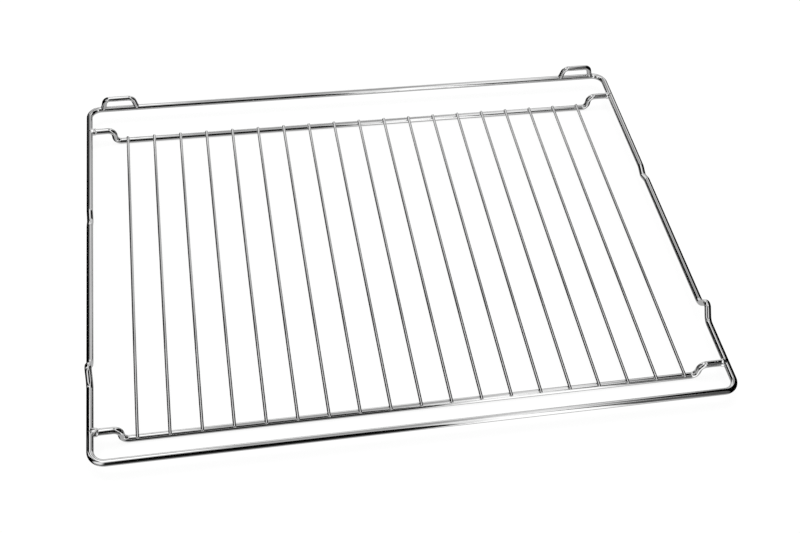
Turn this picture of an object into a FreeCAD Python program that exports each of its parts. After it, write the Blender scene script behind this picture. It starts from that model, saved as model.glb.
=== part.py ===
# Oven shelf rack, all of chrome-plated round steel wire and welded together:
# a closed outer frame, two dropped carriers, a row of thin grid bars lying on them,
# and two low loops standing on the back rail.
# Millimetres. X runs across the oven, Y from the front to the back, Z up.
# The origin is under the middle of the frame, level with the undersides of the carriers.
import FreeCAD
import Part
import math
import os

from FreeCAD import Vector

# Wire diameters
frame_wire = 5.0
carrier_wire = 5.0
bar_wire = 2.3
loop_wire = 4.4

# Outer frame, over the outside of its wire
frame_width = 465.0
frame_depth = 360.0
frame_corner_inside = 7.5

# Stop hump in each side rail, near the front
hump_from_front = 73.5
hump_rise = 9.2
hump_slope = 50.0
hump_crest_inside = 0.5
hump_foot_inside = 5.5

# Catch notch in each side rail, towards the back
notch_from_back = 128.7
notch_depth = 2.8
notch_slope = 21.0
notch_bottom_inside = 1.5
notch_foot_inside = 5.5

# Carriers: level ends on the side rails, then a step down to the long low run
carrier_drop = 12.1
front_carrier_inset = 25.0
back_carrier_inset = 28.0
carrier_end_run = 15.0
carrier_step_slope = 85.0
carrier_step_inside = 2.5

# Grid bars, pressed a little into the carriers by the welding
bar_count = 19
bar_side_margin = 5.4
bar_weld_sink = 0.4
bar_front_overhang = 2.8
bar_back_overhang = 1.0
bar_end_chamfer = 0.5

# Loops on the back rail, one near each corner
loop_from_side = 25.8
loop_foot_spacing = 27.2
loop_rise = 10.5
loop_lean = 15.0
loop_bend_inside = 2.5

# Places of the centre lines that follow from the sizes above
side_rail_x = (frame_width - frame_wire) / 2
back_rail_y = (frame_depth - frame_wire) / 2
front_rail_y = -back_rail_y
carrier_z = carrier_wire / 2
frame_z = carrier_z + carrier_drop
frame_top_z = frame_z + frame_wire / 2
bar_z = carrier_z + (carrier_wire + bar_wire) / 2 - bar_weld_sink

# The step of a carrier: how far each bend reaches past its sharp corner, and where the low run ends
step_slope = math.radians(carrier_step_slope)
step_cut_back = (carrier_step_inside + carrier_wire / 2) * math.tan(step_slope / 2)
step_reach = 2 * step_cut_back + carrier_drop / math.tan(step_slope)
low_run_x = side_rail_x - carrier_end_run - step_reach


def rounded_path(corners, bend_radii):
    """Line through the corners, each inner corner rounded by a tangent arc."""
    edges = []
    start = corners[0]
    for before, corner, after, radius in zip(corners, corners[1:], corners[2:], bend_radii):
        way_in = (corner - before).normalize()
        way_out = (after - corner).normalize()
        half_turn = way_in.getAngle(way_out) / 2
        cut_back = radius * math.tan(half_turn)
        corner_to_arc = radius / math.cos(half_turn) - radius
        arc_start = corner - way_in * cut_back
        arc_middle = corner + (way_out - way_in).normalize() * corner_to_arc
        arc_end = corner + way_out * cut_back
        edges.append(Part.LineSegment(start, arc_start).toShape())
        edges.append(Part.Arc(arc_start, arc_middle, arc_end).toShape())
        start = arc_end
    edges.append(Part.LineSegment(start, corners[-1]).toShape())
    return Part.Wire(edges)


def bent_wire(corners, inside_radii, wire):
    """Round wire of one diameter, bent at each inner corner to the given inside radius."""
    bend_radii = [inside + wire / 2 for inside in inside_radii]
    path = rounded_path(corners, bend_radii)
    section = Part.Face(Part.Wire(Part.makeCircle(wire / 2, corners[0], corners[1] - corners[0])))
    return path.makePipe(section)


def rail_kink(y, lift, slope, tip_inside):
    """Three corners of a V-shaped kink in the right side rail, whose wire rises by lift at its tip."""
    tip_radius = tip_inside + frame_wire / 2
    sharp_height = abs(lift) + tip_radius * (1 / math.cos(math.radians(slope)) - 1)
    reach = sharp_height / math.tan(math.radians(slope))
    tip_z = frame_z + math.copysign(sharp_height, lift)
    return [
        Vector(side_rail_x, y - reach, frame_z),
        Vector(side_rail_x, y, tip_z),
        Vector(side_rail_x, y + reach, frame_z),
    ]


def outer_frame():
    """Closed frame: its right half bent from the middle of the front rail round to the back, and mirrored."""
    hump = rail_kink(front_rail_y + hump_from_front, hump_rise, hump_slope, hump_crest_inside)
    notch = rail_kink(back_rail_y - notch_from_back, -notch_depth, notch_slope, notch_bottom_inside)
    corners = [Vector(0, front_rail_y, frame_z), Vector(side_rail_x, front_rail_y, frame_z)]
    corners += hump + notch
    corners += [Vector(side_rail_x, back_rail_y, frame_z), Vector(0, back_rail_y, frame_z)]
    inside_radii = [frame_corner_inside]
    inside_radii += [hump_foot_inside, hump_crest_inside, hump_foot_inside]
    inside_radii += [notch_foot_inside, notch_bottom_inside, notch_foot_inside]
    inside_radii += [frame_corner_inside]
    right_half = bent_wire(corners, inside_radii, frame_wire)
    left_half = right_half.mirror(Vector(0, 0, 0), Vector(1, 0, 0))
    return right_half.fuse(left_half).removeSplitter()


def carrier(y, frame):
    """Carrier across the rack, its ends shaped to sit against the inner sides of the side rails."""
    high_x = side_rail_x - carrier_end_run - step_cut_back
    low_x = low_run_x + step_cut_back
    corners = [
        Vector(-side_rail_x, y, frame_z),
        Vector(-high_x, y, frame_z),
        Vector(-low_x, y, carrier_z),
        Vector(low_x, y, carrier_z),
        Vector(high_x, y, frame_z),
        Vector(side_rail_x, y, frame_z),
    ]
    inside_radii = [carrier_step_inside] * (len(corners) - 2)
    return bent_wire(corners, inside_radii, carrier_wire).cut(frame)


def grid_bar(x, front_y, back_y, carriers):
    """Straight bar with chamfered ends, hollowed where it is welded down on the carriers."""
    bar = Part.makeCylinder(bar_wire / 2, back_y - front_y, Vector(x, front_y, bar_z), Vector(0, 1, 0))
    end_edges = [edge for edge in bar.Edges if isinstance(edge.Curve, Part.Circle)]
    return bar.makeChamfer(bar_end_chamfer, end_edges).cut(carriers)


def rear_loop(x, frame):
    """Low loop with leaning legs, whose feet are shaped to stand on the back rail."""
    lean = math.tan(math.radians(loop_lean))
    top_z = frame_top_z + loop_rise - loop_wire / 2
    foot_reach = loop_foot_spacing / 2 + (frame_top_z - frame_z) * lean
    top_reach = loop_foot_spacing / 2 - (top_z - frame_top_z) * lean
    corners = [
        Vector(x - foot_reach, back_rail_y, frame_z),
        Vector(x - top_reach, back_rail_y, top_z),
        Vector(x + top_reach, back_rail_y, top_z),
        Vector(x + foot_reach, back_rail_y, frame_z),
    ]
    return bent_wire(corners, [loop_bend_inside] * 2, loop_wire).cut(frame)


def build_rack():
    """Every piece of the rack by name."""
    front_carrier_y = front_rail_y + front_carrier_inset
    back_carrier_y = back_rail_y - back_carrier_inset
    loop_x = side_rail_x - loop_from_side
    frame = outer_frame()
    front = carrier(front_carrier_y, frame)
    back = carrier(back_carrier_y, frame)
    pieces = {
        "outer_frame": frame,
        "front_carrier": front,
        "back_carrier": back,
        "left_rear_loop": rear_loop(-loop_x, frame),
        "right_rear_loop": rear_loop(loop_x, frame),
    }
    outer_bar_x = low_run_x - bar_side_margin
    bar_pitch = 2 * outer_bar_x / (bar_count - 1)
    for number in range(bar_count):
        x = number * bar_pitch - outer_bar_x
        front_y = front_carrier_y - bar_front_overhang
        back_y = back_carrier_y + bar_back_overhang
        pieces[f"grid_bar_{number + 1:02d}"] = grid_bar(x, front_y, back_y, [front, back])
    return pieces


os.makedirs("parts", exist_ok=True)
for name, piece in build_rack().items():
    piece.exportStep(f"parts/{name}.step")
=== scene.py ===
# Looks of the oven shelf rack: chrome-plated wires with rounded bar ends and weld beads at every joint.
# Metres, in the frame of the CAD model: X runs across the oven, Y from the front to the back, Z up.
import math

import bpy
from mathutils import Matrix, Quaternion, Vector


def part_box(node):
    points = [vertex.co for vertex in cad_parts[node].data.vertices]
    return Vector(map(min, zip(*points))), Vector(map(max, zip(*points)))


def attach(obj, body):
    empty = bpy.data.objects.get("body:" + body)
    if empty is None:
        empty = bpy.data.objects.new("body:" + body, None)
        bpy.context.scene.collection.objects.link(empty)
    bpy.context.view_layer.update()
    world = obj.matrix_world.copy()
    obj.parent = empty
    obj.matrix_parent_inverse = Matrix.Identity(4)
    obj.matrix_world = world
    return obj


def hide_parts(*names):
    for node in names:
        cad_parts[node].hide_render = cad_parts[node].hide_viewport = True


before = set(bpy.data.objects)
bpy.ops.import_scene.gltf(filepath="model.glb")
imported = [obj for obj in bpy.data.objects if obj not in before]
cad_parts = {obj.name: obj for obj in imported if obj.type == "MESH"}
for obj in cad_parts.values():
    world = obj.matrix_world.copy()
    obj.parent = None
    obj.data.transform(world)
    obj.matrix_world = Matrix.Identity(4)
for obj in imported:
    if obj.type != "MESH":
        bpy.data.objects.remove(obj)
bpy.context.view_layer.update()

mm = 0.001
body = "root"

# Wires and their bends
frame_wire = 5.0 * mm
carrier_wire = 5.0 * mm
bar_wire = 2.3 * mm
loop_wire = 4.4 * mm
frame_corner_radius = 10.0 * mm
carrier_step_radius = 5.0 * mm
carrier_step_slope = math.radians(85)
carrier_end_run = 15.0 * mm
loop_bend_radius = 4.7 * mm
loop_foot_spacing = 27.2 * mm
loop_lean = math.tan(math.radians(15))
bar_end_round = 0.9 * mm
bar_weld_sink = 0.4 * mm

# Stop hump and catch notch of the side rails
hump_from_front = 73.5 * mm
hump_rise = 9.2 * mm
hump_slope = math.radians(50)
hump_crest_radius = 3.0 * mm
hump_foot_radius = 8.0 * mm
notch_from_back = 128.7 * mm
notch_depth = 2.8 * mm
notch_slope = math.radians(21)
notch_bottom_radius = 4.0 * mm
notch_foot_radius = 8.0 * mm

# Welds
bar_bead = 0.7 * mm
bar_weld_lumps = 0.24 * mm
bar_weld_lump_size = 1.2 * mm
bar_weld_size_spread = 0.08
left_front_weld_swell = 0.8 * mm
left_back_weld_swell = 0.5 * mm
right_front_weld_swell = 0.7 * mm
right_back_weld_swell = 0.5 * mm
carrier_weld_lumps = 0.9 * mm
carrier_weld_lump_size = 2.0 * mm
left_weld_reach = 6.0 * mm
right_weld_reach = 4.8 * mm
spatter_from_rail = (7.1 * mm, 9.2 * mm)
spatter_width = 0.8 * mm
spatter_height = 0.4 * mm
loop_weld_swell = 0.2 * mm
loop_weld_lumps = 0.12 * mm
loop_weld_lump_size = 1.2 * mm
loop_weld_reach = 4.4 * mm
loop_drop_width = 3.0 * mm
loop_drop_height = 1.0 * mm
loop_drop_inward = 3.2 * mm
loop_drop_forward = 1.0 * mm
loop_drop_lean = Vector((-0.3, -0.3, 0.9))
collar_start = -1.0 * mm
collar_rise = 2.5 * mm
collar_run_out = 2.0 * mm
collar_sink = 0.1 * mm
drop_end_share = 0.05
weld_seed = 7

# Fineness of the meshes
wire_sides = 32
bar_sides = 24
bead_sides = 12
bead_points = 40
collar_rings = 28
drop_rings = 10
bar_end_rings = 6
points_in_bend = 20

# Places read from the frame
frame_low, frame_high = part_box("outer_frame")
front_low, front_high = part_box("front_carrier")
back_low, back_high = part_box("back_carrier")
bar_names = sorted(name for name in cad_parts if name.startswith("grid_bar_"))
first_bar_low, first_bar_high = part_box(bar_names[0])
last_bar_low, last_bar_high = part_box(bar_names[-1])
side_rail_x = frame_high.x - frame_wire / 2
front_rail_y = frame_low.y + frame_wire / 2
back_rail_y = frame_high.y - frame_wire / 2
carrier_z = front_low.z + carrier_wire / 2
frame_z = front_high.z - carrier_wire / 2
front_carrier_y = (front_low.y + front_high.y) / 2
back_carrier_y = (back_low.y + back_high.y) / 2
bar_count = len(bar_names)
first_bar_x = (first_bar_low.x + first_bar_high.x) / 2
last_bar_x = (last_bar_low.x + last_bar_high.x) / 2
bar_pitch = (last_bar_x - first_bar_x) / (bar_count - 1)
bar_z = carrier_z + (carrier_wire + bar_wire) / 2 - bar_weld_sink


def linear(hex_colour):
    """Linear RGBA of an sRGB hex colour."""
    channels = [int(hex_colour[i:i + 2], 16) / 255 for i in (1, 3, 5)]
    return [c / 12.92 if c <= 0.04045 else ((c + 0.055) / 1.055) ** 2.4 for c in channels] + [1.0]


def add_node(tree, kind, inputs=None, **settings):
    """Adds a node, sets its properties, and gives each named input a value or a link."""
    node = tree.nodes.new(kind)
    for name, value in settings.items():
        setattr(node, name, value)
    for key, value in (inputs or {}).items():
        if isinstance(value, bpy.types.NodeSocket):
            tree.links.new(value, node.inputs[key])
        else:
            node.inputs[key].default_value = value
    return node


# Materials


def chrome_plated_wire():
    """Drawn steel wire, nickel and chrome plated after welding: a bright, neutral mirror.
    Fine die lines run along it, the plating has a slight ripple, and handling leaves duller patches."""
    # Real die lines are finer than the picture can show, so they are drawn coarser
    die_line_width = 0.25 * mm
    die_line_length = 30 * mm
    die_line_depth = 0.004 * mm
    ripple_size = 4 * mm
    ripple_height = 0.04 * mm
    patch_size = 22 * mm
    bright_roughness = 0.04
    dull_roughness = 0.09
    material = bpy.data.materials.new("chrome-plated steel wire")
    material.use_nodes = True
    tree = material.node_tree
    shader = tree.nodes["Principled BSDF"]
    section = add_node(tree, "ShaderNodeAttribute", attribute_name="section")
    run = add_node(tree, "ShaderNodeAttribute", attribute_name="run")
    across = add_node(tree, "ShaderNodeSeparateXYZ", {"Vector": section.outputs["Vector"]})
    on_wire = add_node(tree, "ShaderNodeCombineXYZ", {
        "X": across.outputs["X"],
        "Y": across.outputs["Y"],
        "Z": run.outputs["Fac"],
    })
    line_scale = (1 / die_line_width, 1 / die_line_width, 1 / die_line_length)
    line_place = add_node(tree, "ShaderNodeMapping", {
        "Vector": on_wire.outputs["Vector"],
        "Scale": line_scale,
    })
    lines = add_node(tree, "ShaderNodeTexNoise", {
        "Vector": line_place.outputs["Vector"],
        "Scale": 1.0,
        "Detail": 2.0,
    })
    place = add_node(tree, "ShaderNodeTexCoord").outputs["Object"]
    ripple = add_node(tree, "ShaderNodeTexNoise", {
        "Vector": place,
        "Scale": 1 / ripple_size,
        "Detail": 1.0,
    })
    patches = add_node(tree, "ShaderNodeTexNoise", {
        "Vector": place,
        "Scale": 1 / patch_size,
        "Detail": 4.0,
    })
    rippled = add_node(tree, "ShaderNodeBump", {
        "Strength": 0.08,
        "Distance": ripple_height,
        "Height": ripple.outputs["Fac"],
    })
    lined = add_node(tree, "ShaderNodeBump", {
        "Strength": 0.12,
        "Distance": die_line_depth,
        "Height": lines.outputs["Fac"],
        "Normal": rippled.outputs["Normal"],
    })
    tint = add_node(tree, "ShaderNodeMix", {
        "Factor": patches.outputs["Fac"],
        6: linear("#E6E6E6"),
        7: linear("#DADADA"),
    }, data_type="RGBA")
    dulling = add_node(tree, "ShaderNodeMapRange", {
        "Value": patches.outputs["Fac"],
        "From Min": 0.35,
        "From Max": 0.75,
        "To Min": bright_roughness,
        "To Max": dull_roughness,
    })
    shader.inputs["Metallic"].default_value = 1.0
    tree.links.new(tint.outputs[2], shader.inputs["Base Color"])
    tree.links.new(dulling.outputs["Result"], shader.inputs["Roughness"])
    tree.links.new(lined.outputs["Normal"], shader.inputs["Normal"])
    return material


def chrome_plated_weld():
    """Resistance weld under the same plating: bright too, but pimpled and a little duller than the wire."""
    pimple_size = 0.6 * mm
    pimple_height = 0.06 * mm
    smooth_roughness = 0.06
    dull_roughness = 0.16
    material = bpy.data.materials.new("chrome-plated weld")
    material.use_nodes = True
    tree = material.node_tree
    shader = tree.nodes["Principled BSDF"]
    place = add_node(tree, "ShaderNodeTexCoord").outputs["Object"]
    pimples = add_node(tree, "ShaderNodeTexNoise", {
        "Vector": place,
        "Scale": 1 / pimple_size,
        "Detail": 3.0,
    })
    bumped = add_node(tree, "ShaderNodeBump", {
        "Strength": 0.35,
        "Distance": pimple_height,
        "Height": pimples.outputs["Fac"],
    })
    tint = add_node(tree, "ShaderNodeMix", {
        "Factor": pimples.outputs["Fac"],
        6: linear("#F0F0F0"),
        7: linear("#DEDEDE"),
    }, data_type="RGBA")
    dulling = add_node(tree, "ShaderNodeMapRange", {
        "Value": pimples.outputs["Fac"],
        "To Min": smooth_roughness,
        "To Max": dull_roughness,
    })
    shader.inputs["Metallic"].default_value = 1.0
    tree.links.new(tint.outputs[2], shader.inputs["Base Color"])
    tree.links.new(dulling.outputs["Result"], shader.inputs["Roughness"])
    tree.links.new(bumped.outputs["Normal"], shader.inputs["Normal"])
    return material


# Node trees that grow the wires, the row of bars and the weld beads


def new_tree(name, inputs):
    """Empty geometry tree with the named inputs: returns the tree and its input node."""
    tree = bpy.data.node_groups.new(name, "GeometryNodeTree")
    tree.is_modifier = True
    for socket_name, kind in inputs.items():
        tree.interface.new_socket(socket_name, in_out="INPUT", socket_type=kind)
    tree.interface.new_socket("Geometry", in_out="OUTPUT", socket_type="NodeSocketGeometry")
    return tree, tree.nodes.new("NodeGroupInput")


def finish_tree(tree, geometry, material):
    """Ends a tree: smooth shading, real geometry instead of copies, and the material."""
    smooth = add_node(tree, "GeometryNodeSetShadeSmooth", {"Geometry": geometry})
    real = add_node(tree, "GeometryNodeRealizeInstances", {"Geometry": smooth.outputs["Geometry"]})
    finished = add_node(tree, "GeometryNodeSetMaterial", {
        "Geometry": real.outputs["Geometry"],
        "Material": material,
    })
    add_node(tree, "NodeGroupOutput", {"Geometry": finished.outputs["Geometry"]})


def bent_wire_tree():
    """Round wire along a line of corners, bent at each corner to the radius kept there."""
    tree, given = new_tree("bent wire", {
        "Corners": "NodeSocketGeometry",
        "Wire diameter": "NodeSocketFloat",
        "Sides": "NodeSocketInt",
        "Points in a bend": "NodeSocketInt",
        "Material": "NodeSocketMaterial",
    })
    radius = add_node(tree, "GeometryNodeInputNamedAttribute", {"Name": "bend_radius"}, data_type="FLOAT")
    width = add_node(tree, "GeometryNodeInputNamedAttribute", {"Name": "width"}, data_type="FLOAT")
    line = add_node(tree, "GeometryNodeMeshToCurve", {"Mesh": given.outputs["Corners"]})
    bent = add_node(tree, "GeometryNodeFilletCurve", {
        "Curve": line.outputs["Curve"],
        "Radius": radius.outputs["Attribute"],
        "Count": given.outputs["Points in a bend"],
        "Limit Radius": True,
    }, mode="POLY")
    length = add_node(tree, "GeometryNodeSplineParameter")
    measured = add_node(tree, "GeometryNodeStoreNamedAttribute", {
        "Geometry": bent.outputs["Curve"],
        "Name": "run",
        "Value": length.outputs["Length"],
    }, data_type="FLOAT", domain="POINT")
    half = add_node(tree, "ShaderNodeMath", {0: given.outputs["Wire diameter"], 1: 2.0}, operation="DIVIDE")
    circle = add_node(tree, "GeometryNodeCurvePrimitiveCircle", {
        "Resolution": given.outputs["Sides"],
        "Radius": half.outputs["Value"],
    })
    profile = add_node(tree, "GeometryNodeStoreNamedAttribute", {
        "Geometry": circle.outputs["Curve"],
        "Name": "section",
        "Value": add_node(tree, "GeometryNodeInputPosition").outputs["Position"],
    }, data_type="FLOAT_VECTOR", domain="POINT")
    wire = add_node(tree, "GeometryNodeCurveToMesh", {
        "Curve": measured.outputs["Geometry"],
        "Profile Curve": profile.outputs["Geometry"],
        "Scale": width.outputs["Attribute"],
        "Fill Caps": True,
    })
    finish_tree(tree, wire.outputs["Mesh"], given.outputs["Material"])
    return tree


def bar_row_tree():
    """Row of equal bars, one bar copied across the rack."""
    tree, given = new_tree("row of bars", {
        "Geometry": "NodeSocketGeometry",
        "Bar": "NodeSocketObject",
        "Count": "NodeSocketInt",
        "First bar": "NodeSocketVector",
        "Step": "NodeSocketVector",
        "Material": "NodeSocketMaterial",
    })
    places = add_node(tree, "GeometryNodeMeshLine", {
        "Count": given.outputs["Count"],
        "Start Location": given.outputs["First bar"],
        "Offset": given.outputs["Step"],
    })
    bar = add_node(tree, "GeometryNodeObjectInfo", {"Object": given.outputs["Bar"]})
    row = add_node(tree, "GeometryNodeInstanceOnPoints", {
        "Points": places.outputs["Mesh"],
        "Instance": bar.outputs["Geometry"],
    })
    finish_tree(tree, row.outputs["Instances"], given.outputs["Material"])
    return tree


def weld_tree():
    """Bead copied to each weld place, each a little different in size, with a lumpy skin."""
    tree, given = new_tree("weld beads", {
        "Places": "NodeSocketGeometry",
        "Bead": "NodeSocketObject",
        "Lump height": "NodeSocketFloat",
        "Lump size": "NodeSocketFloat",
        "Size spread": "NodeSocketFloat",
        "Seed": "NodeSocketInt",
        "Material": "NodeSocketMaterial",
    })
    spread = given.outputs["Size spread"]
    least = add_node(tree, "ShaderNodeMath", {0: 1.0, 1: spread}, operation="SUBTRACT")
    most = add_node(tree, "ShaderNodeMath", {0: 1.0, 1: spread}, operation="ADD")
    size = add_node(tree, "FunctionNodeRandomValue", {
        2: least.outputs["Value"],
        3: most.outputs["Value"],
        "Seed": given.outputs["Seed"],
    }, data_type="FLOAT")
    bead = add_node(tree, "GeometryNodeObjectInfo", {"Object": given.outputs["Bead"]})
    copies = add_node(tree, "GeometryNodeInstanceOnPoints", {
        "Points": given.outputs["Places"],
        "Instance": bead.outputs["Geometry"],
        "Scale": size.outputs[1],
    })
    real = add_node(tree, "GeometryNodeRealizeInstances", {"Geometry": copies.outputs["Instances"]})
    scale = add_node(tree, "ShaderNodeMath", {0: 1.0, 1: given.outputs["Lump size"]}, operation="DIVIDE")
    noise = add_node(tree, "ShaderNodeTexNoise", {
        "Vector": add_node(tree, "GeometryNodeInputPosition").outputs["Position"],
        "Scale": scale.outputs["Value"],
        "Detail": 2.0,
    })
    centred = add_node(tree, "ShaderNodeMath", {0: noise.outputs["Fac"], 1: 0.5}, operation="SUBTRACT")
    height = add_node(tree, "ShaderNodeMath", {
        0: centred.outputs["Value"],
        1: given.outputs["Lump height"],
    }, operation="MULTIPLY")
    push = add_node(tree, "ShaderNodeVectorMath", {
        0: add_node(tree, "GeometryNodeInputNormal").outputs["Normal"],
        "Scale": height.outputs["Value"],
    }, operation="SCALE")
    lumpy = add_node(tree, "GeometryNodeSetPosition", {
        "Geometry": real.outputs["Geometry"],
        "Offset": push.outputs["Vector"],
    })
    finish_tree(tree, lumpy.outputs["Geometry"], given.outputs["Material"])
    return tree


def grown(name, tree, mesh, inputs):
    """Runs a tree on a mesh and keeps the result as a plain mesh, with its place in the mesh."""
    piece = bpy.data.objects.new(name, mesh)
    bpy.context.scene.collection.objects.link(piece)
    modifier = piece.modifiers.new(name, "NODES")
    modifier.node_group = tree
    for socket in tree.interface.items_tree:
        if socket.in_out == "INPUT" and socket.name in inputs:
            modifier[socket.identifier] = inputs[socket.name]
    evaluated = piece.evaluated_get(bpy.context.evaluated_depsgraph_get())
    plain = bpy.data.meshes.new_from_object(evaluated)
    piece.modifiers.clear()
    piece.data = plain
    return piece


def corner_line(name, corners, bend_radii, widths, closed):
    """Edges through the corners of a wire, with the bend radius and the share of full width at each."""
    edges = [(i, i + 1) for i in range(len(corners) - 1)]
    if closed:
        edges.append((len(corners) - 1, 0))
    mesh = bpy.data.meshes.new(name)
    mesh.from_pydata(corners, edges, [])
    for attribute_name, values in (("bend_radius", bend_radii), ("width", widths)):
        attribute = mesh.attributes.new(attribute_name, "FLOAT", "POINT")
        attribute.data.foreach_set("value", values)
    return mesh


def bent_wire(name, corners, bend_radii, wire, sides=wire_sides, widths=None, closed=False):
    """Wire of one diameter through the corners, as a plain mesh."""
    line = corner_line(name, corners, bend_radii, widths or [1.0] * len(corners), closed)
    return grown(name, trees["bent wire"], line, {
        "Wire diameter": wire,
        "Sides": sides,
        "Points in a bend": points_in_bend,
        "Material": chrome,
    })


# Wires of the rack


def rail_kink(y, lift, slope, tip_radius, foot_radius):
    """Corners and bend radii of a V-shaped kink in the right side rail."""
    sharp_height = abs(lift) + tip_radius * (1 / math.cos(slope) - 1)
    reach = sharp_height / math.tan(slope)
    tip_z = frame_z + math.copysign(sharp_height, lift)
    corners = [
        Vector((side_rail_x, y - reach, frame_z)),
        Vector((side_rail_x, y, tip_z)),
        Vector((side_rail_x, y + reach, frame_z)),
    ]
    return corners, [foot_radius, tip_radius, foot_radius]


def outer_frame():
    """Closed frame, with a stop hump and a catch notch in each side rail."""
    hump, hump_radii = rail_kink(
        front_rail_y + hump_from_front, hump_rise, hump_slope, hump_crest_radius, hump_foot_radius)
    notch, notch_radii = rail_kink(
        back_rail_y - notch_from_back, -notch_depth, notch_slope, notch_bottom_radius, notch_foot_radius)
    front_corner = Vector((side_rail_x, front_rail_y, frame_z))
    back_corner = Vector((side_rail_x, back_rail_y, frame_z))
    right = [front_corner] + hump + notch + [back_corner]
    right_radii = [frame_corner_radius] + hump_radii + notch_radii + [frame_corner_radius]
    left = [Vector((-corner.x, corner.y, corner.z)) for corner in reversed(right)]
    left_radii = right_radii[::-1]
    return bent_wire("frame_wire", right + left, right_radii + left_radii, frame_wire, closed=True)


def carrier(name, y):
    """Carrier: level ends on the side rails, then a step down to the long low run."""
    drop = frame_z - carrier_z
    cut_back = carrier_step_radius * math.tan(carrier_step_slope / 2)
    high_x = side_rail_x - carrier_end_run - cut_back
    low_x = high_x - drop / math.tan(carrier_step_slope)
    right = [
        Vector((low_x, y, carrier_z)),
        Vector((high_x, y, frame_z)),
        Vector((side_rail_x, y, frame_z)),
    ]
    left = [Vector((-corner.x, corner.y, corner.z)) for corner in reversed(right)]
    radii = [0.0] + [carrier_step_radius] * 4 + [0.0]
    return bent_wire(name, left + right, radii, carrier_wire)


def grid_bars():
    """Row of bars on the carriers, each with ends rounded by the cutting and the plating."""
    start_y = first_bar_low.y
    end_y = first_bar_high.y
    full = bar_wire / 2
    rounding = [math.radians(90) * ring / bar_end_rings for ring in range(bar_end_rings + 1)]
    inset = [bar_end_round * (1 - math.cos(angle)) for angle in rounding]
    width = [(full - bar_end_round * (1 - math.sin(angle))) / full for angle in rounding]
    line = [Vector((0, start_y + depth, bar_z)) for depth in inset]
    line += [Vector((0, end_y - depth, bar_z)) for depth in reversed(inset)]
    one_bar = bent_wire("one_bar", line, [0.0] * len(line), bar_wire, bar_sides, width + width[::-1])
    bars = grown("grid_bar_wires", trees["row of bars"], bpy.data.meshes.new("bar row"), {
        "Bar": one_bar,
        "Count": bar_count,
        "First bar": (first_bar_x, 0, 0),
        "Step": (bar_pitch, 0, 0),
        "Material": chrome,
    })
    bpy.data.objects.remove(one_bar)
    return bars


def loop_corners(node):
    """Corners of a rear loop, from the middle of one leg's seat to the other's."""
    low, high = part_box(node)
    x = (low.x + high.x) / 2
    top_z = high.z - loop_wire / 2
    frame_top_z = frame_z + frame_wire / 2
    foot_reach = loop_foot_spacing / 2 + (frame_top_z - frame_z) * loop_lean
    top_reach = loop_foot_spacing / 2 - (top_z - frame_top_z) * loop_lean
    return [
        Vector((x - foot_reach, back_rail_y, frame_z)),
        Vector((x - top_reach, back_rail_y, top_z)),
        Vector((x + top_reach, back_rail_y, top_z)),
        Vector((x + foot_reach, back_rail_y, frame_z)),
    ]


def rear_loop(name, node):
    """Low loop with leaning legs on the back rail."""
    radii = [0.0, loop_bend_radius, loop_bend_radius, 0.0]
    return bent_wire(name, loop_corners(node), radii, loop_wire)


# Welds


def weld_collar(name, seat, way_out, wire, reach, swell):
    """Metal squeezed out round the end of a wire that is welded against a rail.
    It rises out of the rail, and runs out into the wire at the given reach from the rail's middle."""
    outward = way_out.normalized()
    sunk = wire / 2 - collar_sink
    points = []
    widths = []
    for ring in range(collar_rings + 1):
        along = collar_start + (reach - collar_start) * ring / collar_rings
        rise = min((along - collar_start) / collar_rise, 1.0)
        fall = min((reach - along) / collar_run_out, 1.0)
        fullness = (1 - math.cos(math.pi * rise)) * (1 - math.cos(math.pi * fall)) / 4
        points.append(seat + outward * along)
        widths.append((sunk + swell * fullness) / (wire / 2))
    return bent_wire(name, points, [0.0] * len(points), wire, wire_sides, widths)


def weld_drop(seat, way_out, width, height):
    """Rounded drop of weld metal, half sunk into the wire that it stands on."""
    outward = way_out.normalized()
    points = []
    widths = []
    for ring in range(drop_rings + 1):
        angle = math.pi * ring / drop_rings
        points.append(seat - outward * height * math.cos(angle))
        widths.append(max(math.sin(angle), drop_end_share))
    return bent_wire("drop", points, [0.0] * len(points), width, bead_sides, widths)


def bar_weld_bead():
    """Rim squeezed out round a bar where it sinks into a carrier, about the crossing point of the two."""
    carrier_radius = carrier_wire / 2
    bar_radius = bar_wire / 2
    rise = bar_z - carrier_z
    widest = math.acos((rise - carrier_radius) / bar_radius)
    points = []
    for step in range(bead_points):
        angle = 2 * math.pi * step / bead_points
        lean = widest * math.cos(angle)
        z = min(rise - bar_radius * math.cos(lean), carrier_radius)
        y = math.copysign(math.sqrt(carrier_radius ** 2 - z ** 2), math.sin(angle))
        points.append(Vector((bar_radius * math.sin(lean), y, z)))
    return bent_wire("one_bead", points, [0.0] * len(points), bar_bead, bead_sides, closed=True)


def bar_welds():
    """Weld rims at every crossing of a bar and a carrier."""
    places = [
        Vector((first_bar_x + number * bar_pitch, y, carrier_z))
        for y in (front_carrier_y, back_carrier_y)
        for number in range(bar_count)
    ]
    points = bpy.data.meshes.new("bar weld places")
    points.from_pydata(places, [], [])
    bead = bar_weld_bead()
    welds = lumpy_welds("bar_welds", points, bead, bar_weld_lumps, bar_weld_lump_size, bar_weld_size_spread)
    bpy.data.objects.remove(bead)
    return welds


def lumpy_welds(name, places, bead, lump_height, lump_size, size_spread):
    """Copies of a bead at the places, with uneven skins."""
    return grown(name, trees["weld beads"], places, {
        "Bead": bead,
        "Lump height": lump_height,
        "Lump size": lump_size,
        "Size spread": size_spread,
        "Seed": weld_seed,
        "Material": weld,
    })


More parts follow.
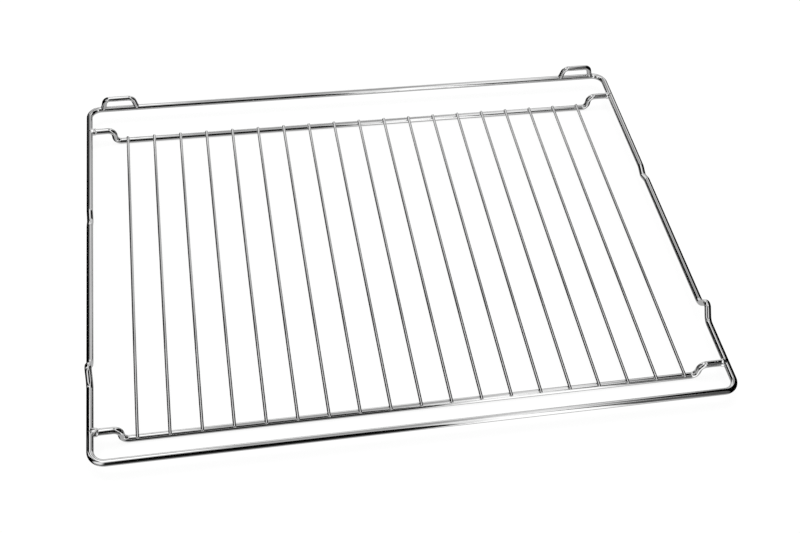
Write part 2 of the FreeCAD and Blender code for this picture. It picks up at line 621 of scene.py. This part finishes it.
def end_welds(name, beads, lump_height, lump_size):
    """Collars and drops at several wire ends, joined in one lumpy piece."""
    with bpy.context.temp_override(active_object=beads[0], selected_editable_objects=beads):
        bpy.ops.object.join()
    origin = bpy.data.meshes.new(name)
    origin.from_pydata([(0, 0, 0)], [], [])
    welds = lumpy_welds(name, origin, beads[0], lump_height, lump_size, size_spread=0.0)
    bpy.data.objects.remove(beads[0])
    return welds


def carrier_end_welds():
    """Welds where the carriers end on the side rails, with spatter beside the one at the right front."""
    beads = []
    for side, y, reach, swell in (
        (-1, front_carrier_y, left_weld_reach, left_front_weld_swell),
        (-1, back_carrier_y, left_weld_reach, left_back_weld_swell),
        (1, front_carrier_y, right_weld_reach, right_front_weld_swell),
        (1, back_carrier_y, right_weld_reach, right_back_weld_swell),
    ):
        seat = Vector((side * side_rail_x, y, frame_z))
        way_out = Vector((-side, 0, 0))
        beads.append(weld_collar("carrier_end", seat, way_out, carrier_wire, reach, swell))
    straight_up = Vector((0, 0, 1))
    for from_rail in spatter_from_rail:
        on_top = Vector((side_rail_x - from_rail, front_carrier_y, frame_z + carrier_wire / 2))
        beads.append(weld_drop(on_top, straight_up, spatter_width, spatter_height))
    return end_welds("carrier_end_welds", beads, carrier_weld_lumps, carrier_weld_lump_size)


def loop_foot_welds():
    """Welds where the rear loops stand on the back rail, with a drop inside the right loop's outer leg."""
    beads = []
    for node in ("left_rear_loop", "right_rear_loop"):
        corners = loop_corners(node)
        for foot, bend in ((corners[0], corners[1]), (corners[3], corners[2])):
            leg = bend - foot
            beads.append(weld_collar("loop_foot", foot, leg, loop_wire, loop_weld_reach, loop_weld_swell))
    outer_foot = loop_corners("right_rear_loop")[3]
    beside_leg = outer_foot + Vector((-loop_drop_inward, -loop_drop_forward, frame_wire / 2))
    beads.append(weld_drop(beside_leg, loop_drop_lean, loop_drop_width, loop_drop_height))
    return end_welds("loop_foot_welds", beads, loop_weld_lumps, loop_weld_lump_size)


# Studio


def studio_floor():
    """Plain white floor that fades into the white surroundings and keeps the rack's soft shadow."""
    size = 3.0
    whiteness = 0.91
    mesh = bpy.data.meshes.new("floor")
    corners = [(-size, -size, 0), (size, -size, 0), (size, size, 0), (-size, size, 0)]
    mesh.from_pydata(corners, [], [(0, 1, 2, 3)])
    floor = bpy.data.objects.new("floor", mesh)
    bpy.context.scene.collection.objects.link(floor)
    material = bpy.data.materials.new("white studio paper")
    material.use_nodes = True
    tree = material.node_tree
    tree.nodes.clear()
    paper = add_node(tree, "ShaderNodeBsdfDiffuse", {"Color": linear("#F2F2F2")})
    white = add_node(tree, "ShaderNodeEmission", {"Color": linear("#FFFFFF"), "Strength": 1.0})
    seen = seen_as_background(tree)
    share = add_node(tree, "ShaderNodeMath", {0: seen, 1: whiteness}, operation="MULTIPLY")
    surface = add_node(tree, "ShaderNodeMixShader", {
        "Fac": share.outputs["Value"],
        1: paper.outputs["BSDF"],
        2: white.outputs["Emission"],
    })
    add_node(tree, "ShaderNodeOutputMaterial", {"Surface": surface.outputs["Shader"]})
    mesh.materials.append(material)
    floor.visible_glossy = False


def seen_as_background(tree):
    """1 for rays from the camera, a reflection or a transparent thing, otherwise 0."""
    path = add_node(tree, "ShaderNodeLightPath")
    mirrored = add_node(tree, "ShaderNodeMath", {
        0: path.outputs["Is Camera Ray"],
        1: path.outputs["Is Glossy Ray"],
    }, operation="MAXIMUM")
    through = add_node(tree, "ShaderNodeMath", {
        0: mirrored.outputs["Value"],
        1: path.outputs["Is Transmission Ray"],
    }, operation="MAXIMUM")
    return through.outputs["Value"]


def white_surroundings():
    """White all round for the camera and for reflections, and a dimmer even light for the floor."""
    even_light = 0.6
    world = bpy.data.worlds.new("white studio")
    bpy.context.scene.world = world
    world.use_nodes = True
    tree = world.node_tree
    tree.nodes.clear()
    even = add_node(tree, "ShaderNodeBackground", {"Color": linear("#FFFFFF"), "Strength": even_light})
    white = add_node(tree, "ShaderNodeBackground", {"Color": linear("#FFFFFF"), "Strength": 1.0})
    surface = add_node(tree, "ShaderNodeMixShader", {
        "Fac": seen_as_background(tree),
        1: even.outputs["Background"],
        2: white.outputs["Background"],
    })
    add_node(tree, "ShaderNodeOutputWorld", {"Surface": surface.outputs["Shader"]})


def soft_lamp():
    """Wide lamp over the rack that gives the floor its soft shadow."""
    width = 1.4
    depth = 1.0
    watts = 30
    place = (-0.2, 0.1, 1.6)
    light = bpy.data.lights.new("soft overhead lamp", "AREA")
    light.shape = "RECTANGLE"
    light.size = width
    light.size_y = depth
    light.energy = watts
    lamp = bpy.data.objects.new("soft overhead lamp", light)
    lamp.location = place
    lamp.visible_glossy = False
    bpy.context.scene.collection.objects.link(lamp)


def reflection_card(name, corner, across, up, brightness, fades):
    """Studio card that only reflections see. Its edges fade out over the given lengths."""
    fade_start, fade_end, fade_low, fade_high = fades
    corner = Vector(corner)
    across = Vector(across)
    up = Vector(up)
    mesh = bpy.data.meshes.new(name)
    mesh.from_pydata([corner, corner + across, corner + across + up, corner + up], [], [(0, 1, 2, 3)])
    layer = mesh.uv_layers.new(name="card")
    for loop, uv in zip(layer.data, [(0, 0), (1, 0), (1, 1), (0, 1)]):
        loop.uv = uv
    card = bpy.data.objects.new(name, mesh)
    bpy.context.scene.collection.objects.link(card)
    material = bpy.data.materials.new(name)
    material.use_nodes = True
    tree = material.node_tree
    tree.nodes.clear()
    place = add_node(tree, "ShaderNodeUVMap", uv_map="card")
    axes = add_node(tree, "ShaderNodeSeparateXYZ", {"Vector": place.outputs["UV"]})
    edges = [
        (axes.outputs["X"], 0.0, fade_start / across.length),
        (axes.outputs["X"], 1.0, 1.0 - fade_end / across.length),
        (axes.outputs["Y"], 0.0, fade_low / up.length),
        (axes.outputs["Y"], 1.0, 1.0 - fade_high / up.length),
    ]
    cover = 1.0
    for axis, edge, full in edges:
        if edge == full:
            continue
        fade = add_node(tree, "ShaderNodeMapRange", {
            "Value": axis,
            "From Min": edge,
            "From Max": full,
        }, interpolation_type="SMOOTHSTEP")
        both = add_node(tree, "ShaderNodeMath", {
            0: cover,
            1: fade.outputs["Result"],
        }, operation="MULTIPLY")
        cover = both.outputs["Value"]
    glow = add_node(tree, "ShaderNodeEmission", {"Color": linear("#FFFFFF"), "Strength": brightness})
    clear = add_node(tree, "ShaderNodeBsdfTransparent")
    surface = add_node(tree, "ShaderNodeMixShader", {
        "Fac": cover,
        1: clear.outputs["BSDF"],
        2: glow.outputs["Emission"],
    })
    add_node(tree, "ShaderNodeOutputMaterial", {"Surface": surface.outputs["Shader"]})
    mesh.materials.append(material)
    card.visible_camera = False
    card.visible_diffuse = False
    card.visible_transmission = False
    card.visible_volume_scatter = False
    card.visible_shadow = False


def studio_cards():
    """Flags and soft boxes round the rack, which give the chrome its dark and light stripes."""
    # Name, corner, way across, way up, brightness, and how far the start, end, low and high edges fade
    cards = [
        ("left_flag", (-0.5, 0.0, -0.75), (0.0, 0.95, 0.0), (0.0, 0.0, 1.9),
         0.0, (0.02, 0.15, 0.0, 0.2)),
        ("left_front_flag", (-0.5, -0.35, -0.75), (0.0, 0.25, 0.0), (0.0, 0.0, 1.9),
         0.0, (0.1, 0.02, 0.0, 0.2)),
        ("left_low_flag", (-0.51, -0.12, -0.75), (0.0, 0.15, 0.0), (0.0, 0.0, 0.95),
         0.0, (0.02, 0.02, 0.0, 0.1)),
        ("left_back_flag", (-0.51, 0.8, -0.75), (0.0, 0.85, 0.0), (0.0, 0.0, 1.1),
         0.0, (0.1, 0.1, 0.0, 0.15)),
        ("right_flag", (0.6, -0.6, -0.55), (0.0, 1.3, 0.0), (0.0, 0.0, 2.3),
         0.0, (0.1, 0.2, 0.1, 0.7)),
        ("front_flag", (-0.46, -0.55, -0.6), (0.56, 0.0, 0.0), (0.0, 0.0, 1.75),
         0.0, (0.2, 0.02, 0.7, 0.2)),
        ("front_soft_box", (0.03, -0.57, -0.6), (0.33, 0.0, 0.0), (0.27, 0.0, 2.4),
         1.4, (0.05, 0.05, 0.2, 0.2)),
        ("front_right_flag", (0.27, -0.56, -0.35), (1.05, 0.0, 0.0), (-0.05, 0.0, 1.15),
         0.1, (0.05, 0.2, 0.35, 0.02)),
        ("back_upper_flag", (-0.95, 1.6, 1.05), (1.45, 0.0, 0.0), (0.0, 0.0, 0.9),
         0.33, (0.1, 0.15, 0.1, 0.05)),
        ("back_right_gauze", (0.2, 1.62, -0.45), (1.95, 0.0, 0.0), (0.0, 0.0, 1.75),
         0.5, (0.6, 0.2, 0.1, 0.3)),
        ("overhead_back_flag", (-0.95, 0.7, 1.62), (1.6, 0.0, 0.0), (0.0, 1.0, 0.0),
         0.33, (0.1, 0.15, 0.1, 0.05)),
        ("overhead_soft_box", (-0.7, -0.15, 1.6), (0.6, 0.0, 0.0), (0.0, 1.2, 0.0),
         1.6, (0.1, 0.15, 0.15, 0.1)),
        ("overhead_gauze", (-0.38, -0.75, 1.65), (0.86, 0.0, 0.0), (0.0, 1.7, 0.0),
         0.5, (0.1, 0.15, 0.1, 0.1)),
        ("lower_front_flag", (-3.0, -3.0, -0.3), (6.0, 0.0, 0.0), (0.0, 2.5, 0.0),
         0.0, (0.0, 0.0, 0.0, 0.3)),
        ("lower_gauze", (-3.0, -3.0, -0.7), (6.0, 0.0, 0.0), (0.0, 6.0, 0.0),
         0.5, (0.0, 0.0, 0.0, 0.0)),
        ("overhead_left_window", (-0.95, 1.1, 1.61), (0.6, 0.0, 0.0), (0.0, 0.6, 0.0),
         0.85, (0.1, 0.15, 0.15, 0.1)),
    ]
    for card in cards:
        reflection_card(*card)


def photo_camera():
    """Camera at the photograph's viewing angle, for an image of 800 by 533 pixels."""
    image_width = 800
    image_height = 533
    focal_pixels = 1179.3
    middle_pixel = (406.9, 256.7)
    azimuth = math.radians(-14.05)
    elevation = math.radians(48.34)
    roll = math.radians(5.36)
    aim = Vector((12.35 * mm, -20.85 * mm, frame_z))
    distance = 925.1 * mm
    sensor = 36.0
    back = Vector((
        math.sin(azimuth) * math.cos(elevation),
        -math.cos(azimuth) * math.cos(elevation),
        math.sin(elevation),
    ))
    lens = bpy.data.cameras.new("photo camera")
    lens.sensor_fit = "HORIZONTAL"
    lens.sensor_width = sensor
    lens.lens = focal_pixels * sensor / image_width
    lens.shift_x = (image_width / 2 - middle_pixel[0]) / image_width
    lens.shift_y = (middle_pixel[1] - image_height / 2) / image_width
    camera = bpy.data.objects.new("photo camera", lens)
    camera.location = aim + back * distance
    camera.rotation_mode = "QUATERNION"
    camera.rotation_quaternion = back.to_track_quat("Z", "Y") @ Quaternion((0, 0, 1), roll)
    bpy.context.scene.collection.objects.link(camera)
    bpy.context.scene.camera = camera


# Assembly

chrome = chrome_plated_wire()
weld = chrome_plated_weld()
trees = {tree.name: tree for tree in (bent_wire_tree(), bar_row_tree(), weld_tree())}

stands_for = {
    outer_frame(): ["outer_frame"],
    carrier("front_carrier_wire", front_carrier_y): ["front_carrier"],
    carrier("back_carrier_wire", back_carrier_y): ["back_carrier"],
    grid_bars(): bar_names,
    rear_loop("left_rear_loop_wire", "left_rear_loop"): ["left_rear_loop"],
    rear_loop("right_rear_loop_wire", "right_rear_loop"): ["right_rear_loop"],
    bar_welds(): [],
    carrier_end_welds(): [],
    loop_foot_welds(): [],
}
for piece, nodes in stands_for.items():
    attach(piece, body)
    if nodes:
        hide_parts(*nodes)

studio_floor()
white_surroundings()
soft_lamp()
studio_cards()
photo_camera()
bpy.context.scene.view_settings.view_transform = "Standard"
